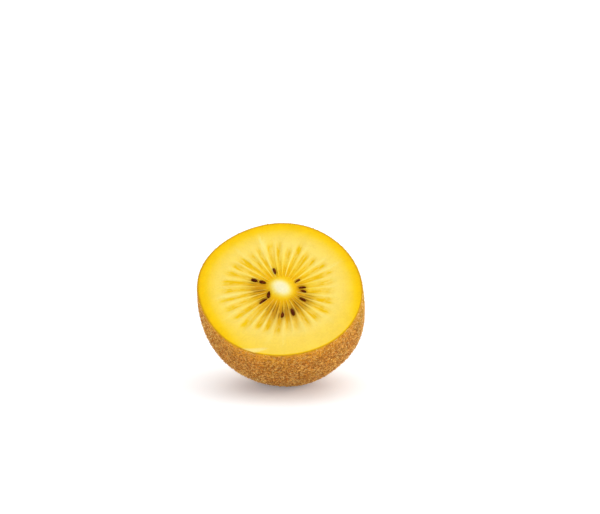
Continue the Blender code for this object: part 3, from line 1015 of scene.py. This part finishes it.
fuzz = {
    "count": 17500, "length": (0.45, 1.25), "width": (0.09, 0.22), "lift": (0.06, 0.60),
    # a hair's rise over its lift, its droop, how deep it is rooted and how thick its middle is
    "rise": 1.3, "droop": 0.28, "rootDepth": 0.03, "middle": 1.5,
    # a hair's own tint, 0 to 1, and the tone there
    "tones": ((0.0, "brown"), (0.45, "brown"), (0.62, "golden"), (1.0, "pale")),
    "pale": (255, 222, 136), "golden": (250, 182, 76), "brown": (184, 108, 24),
    # on the back and the upper side: shorter, the brown ones in the skin's own tone, the others paler; the paler,
    # more golden hairs there are partly painted light
    "goldenLitTrim": 0.35, "goldenLitDim": 0.85, "goldenLitShare": 0.85, "goldenLitTint": (0.60, 0.78),
    "goldenLitTones": ((0.62, (252, 200, 84)), (1.0, (255, 238, 170))),
    "paleTip": (0.3, 1, 0, 0.35), "gloss": (0, 1, 0.6, 0.42),
}


def makeHair():
    # a three-sided spike, a unit long, with a ring of points at its middle where it can bend
    deselectAll()
    bpy.ops.mesh.primitive_cone_add(vertices=3, radius1=0.5, radius2=0, depth=1, end_fill_type="NGON")
    hair = bpy.context.object
    editAll(bpy.ops.mesh.bisect, plane_co=(0, 0, 0.05), plane_no=(0, 0, 1))
    return hair


def combHairs(name, seed):
    hair = makeHair()
    shape = readPoints(hair) * mm
    faces = [list(face.vertices) for face in hair.data.polygons]
    bpy.data.objects.remove(hair)
    along = shape[:, 2] + 0.5
    thick = np.where((along > 0.3) & (along < 0.9), fuzz["middle"], 1.0)
    draw = np.random.default_rng(seed)
    mesh = kiwiSkin.data
    mesh.calc_loop_triangles()
    corners = np.empty(len(mesh.loop_triangles) * 3, np.int32)
    mesh.loop_triangles.foreach_get("vertices", corners)
    corners = corners.reshape(-1, 3)
    outer = np.empty(len(mesh.vertices), np.float32)
    mesh.attributes["outer"].data.foreach_get("value", outer)
    points = readPoints(kiwiSkin)
    corners = corners[(outer[corners] > 0.5).all(axis=1)]
    a, b, c = (points[corners[:, k]] for k in range(3))
    normals = np.cross(b - a, c - a)
    areas = np.linalg.norm(normals, axis=1)
    chosen = draw.choice(len(corners), fuzz["count"], p=areas / areas.sum())
    u, v = draw.random((2, fuzz["count"]))
    flip = u + v > 1
    u, v = np.where(flip, 1 - u, u), np.where(flip, 1 - v, v)
    roots = a[chosen] + (b - a)[chosen] * u[:, None] + (c - a)[chosen] * v[:, None]
    out = normals[chosen] / areas[chosen][:, None]
    side = draw.normal(size=(fuzz["count"], 3))
    side -= out * (side * out).sum(axis=1)[:, None]
    side /= np.linalg.norm(side, axis=1)[:, None]
    lift = draw.uniform(*fuzz["lift"], fuzz["count"])[:, None]
    rise = lift * fuzz["rise"]
    grow = side * np.cos(rise) + out * np.sin(rise)
    across = np.cross(grow, out)
    across /= np.linalg.norm(across, axis=1)[:, None]
    over = np.cross(across, grow)
    length = draw.uniform(*fuzz["length"], fuzz["count"])
    length = (length * (1 - fuzz["goldenLitTrim"] * goldenLitSide(roots)))[:, None, None]
    width = draw.uniform(*fuzz["width"], fuzz["count"])[:, None, None]
    bend = -fuzz["droop"] * lift[:, :, None] * (along ** 2)[None, :, None] * length
    cloud = (roots - out * fuzz["rootDepth"])[:, None, :] + grow[:, None, :] * along[None, :, None] * length
    cloud = cloud + across[:, None, :] * (shape[:, 0] * thick)[None, :, None] * width
    cloud = cloud + over[:, None, :] * (shape[:, 1] * thick)[None, :, None] * width + out[:, None, :] * bend
    made = bpy.data.meshes.new(name)
    size = len(shape)
    allFaces = [[corner + size * k for corner in face] for k in range(fuzz["count"]) for face in faces]
    low, high = np.array(cadBox) / mm
    made.from_pydata((np.clip(cloud.reshape(-1, 3), low, high) * mm).tolist(), [], allFaces)
    piece = bpy.data.objects.new(name, made)
    scene.collection.objects.link(piece)
    paint(piece, "tint", np.repeat(draw.random(fuzz["count"]), size))
    paint(piece, "tip", np.tile(along, fuzz["count"]))
    paint(piece, "goldenLit", np.repeat(goldenLitSide(roots), size))
    pick(piece)
    bpy.ops.object.shade_smooth()
    return piece


def makeFuzzFinish():
    material, tree, shader = newMaterial("goldenFuzz", Specular_IOR_Level=0.16)
    tint, tip, goldenLit = (readLayer(tree, (0, row), name) for row, name in enumerate(("tint", "tip", "goldenLit")))
    colour = rampColour(tree, (2, 0), tint, [(place, fuzz[name]) for place, name in fuzz["tones"]])
    broad = addPatches(tree, (0, 3), skin["broadSize"], 0.3)
    ground = rampColour(tree, (1, 3), broad, skin["goldenLit"], fuzz["goldenLitDim"])
    light = rampColour(tree, (1, 4), tint, fuzz["goldenLitTones"])
    golden = stain(tree, (2, 3), ground, light, tint, fuzz["goldenLitTint"])
    # partly painted light: the hairs on the lit upper side take the golden ground and paler tones
    share = times(tree, (1, 2), goldenLit, fuzz["goldenLitShare"])
    colour = mixColour(tree, (2.5, 0), share, colour, golden)
    colour = stain(tree, (3, 0), colour, tone(fuzz["pale"]), tip, fuzz["paleTip"])
    feed(tree, shader, Base_Color=colour, Roughness=remap(tree, (3, 1), tint, *fuzz["gloss"]))
    return material


fuzzFinish = makeFuzzFinish()
fuzzPieces = [combHairs("fuzzA", 3), combHairs("fuzzB", 4)]
for piece in fuzzPieces:
    piece.data.materials.append(fuzzFinish)
print("fuzz combed")

# each piece with the name of a slot, which nothing here reads; each piece is attached to the root body and the
# part from model.glb is hidden

for piece, slotName in ((kiwiFlesh, "flesh"), (kiwiSkin, "skin"), (kiwiSeeds, "seed"), (stemPiece, "stem_end"),
                        (fuzzPieces[0], "hair"), (fuzzPieces[1], "hair")):
    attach(piece, "root")
    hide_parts("golden_kiwi_half")
    print(piece.name, len(piece.data.polygons), "faces")

deselectAll()
